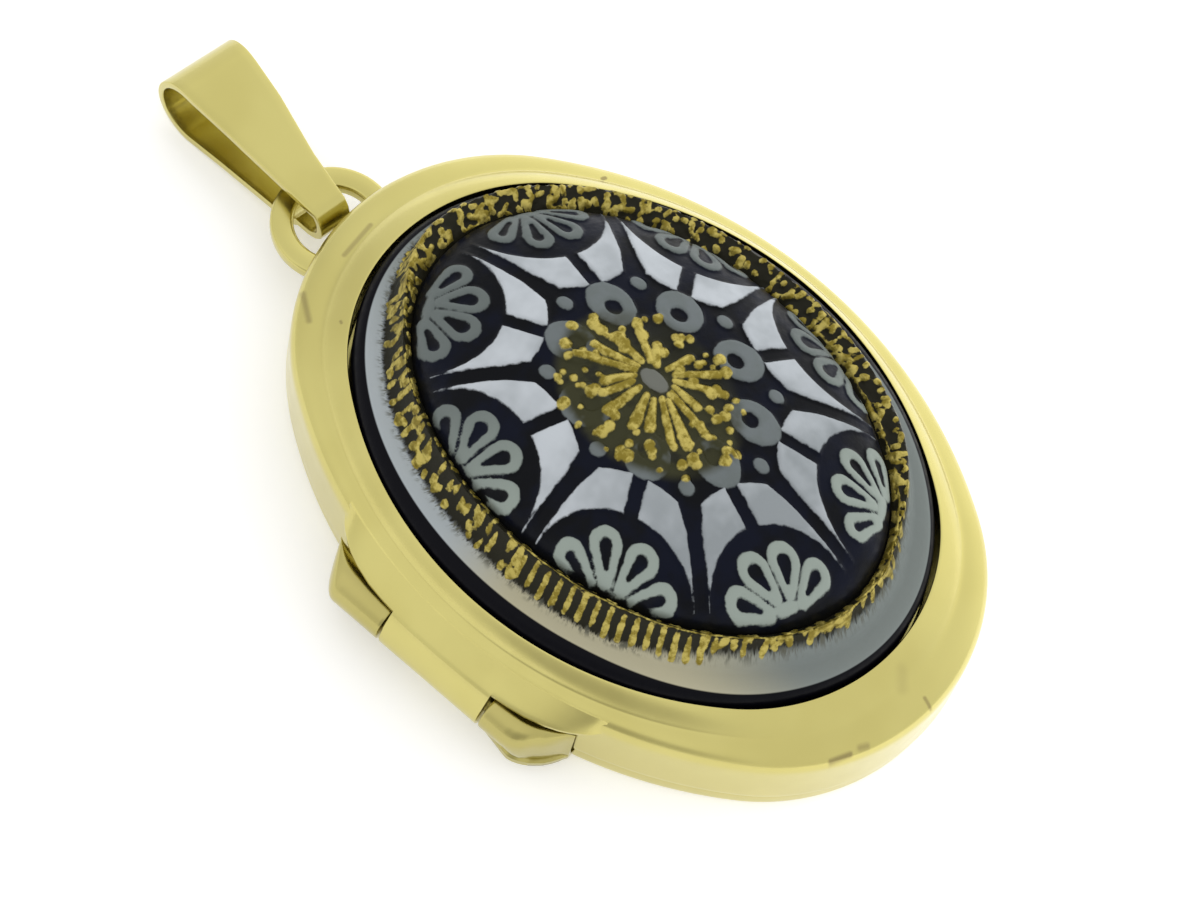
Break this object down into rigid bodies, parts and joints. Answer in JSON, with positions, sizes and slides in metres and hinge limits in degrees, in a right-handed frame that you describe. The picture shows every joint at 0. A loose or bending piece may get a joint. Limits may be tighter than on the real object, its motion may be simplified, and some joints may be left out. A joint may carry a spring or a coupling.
{
  "type": "oval locket pendant",
  "caption": "Oval hinged locket pendant with a domed relief glass cabochon, a soldered ring and a folded bail.",
  "frame": {"origin": "centre of the flat back face that the closed locket lies on", "axes": "+Z out of the glass face, +Y towards the ring and bail, -X towards the hinge"},
  "size_m": [0.022, 0.0385, 0.01],
  "materials": {
    "gold": "polished pale yellow gold plate",
    "glass": "opaque pressed black and grey glass with gilded relief"
  },
  "bodies": {
    "case": {"back_cover": "gold", "hinge_pin": "gold"},
    "lid": {"front_cover": "gold", "glass_cabochon": "glass"},
    "bail": {"bail": "gold"}
  },
  "joints": [
    {"name": "lid_open", "type": "hinge", "parent": "case", "child": "lid", "pos_m": [-0.01075, 0, 0.0022], "axis": [0, -1, 0], "range_deg": [0, 120]},
    {"name": "bail_swing", "type": "hinge", "parent": "case", "child": "bail", "pos_m": [0.00031, 0.01702, 0.0019], "axis": [0.9877, -0.1564, 0], "range_deg": [-100, 108]}
  ]
}
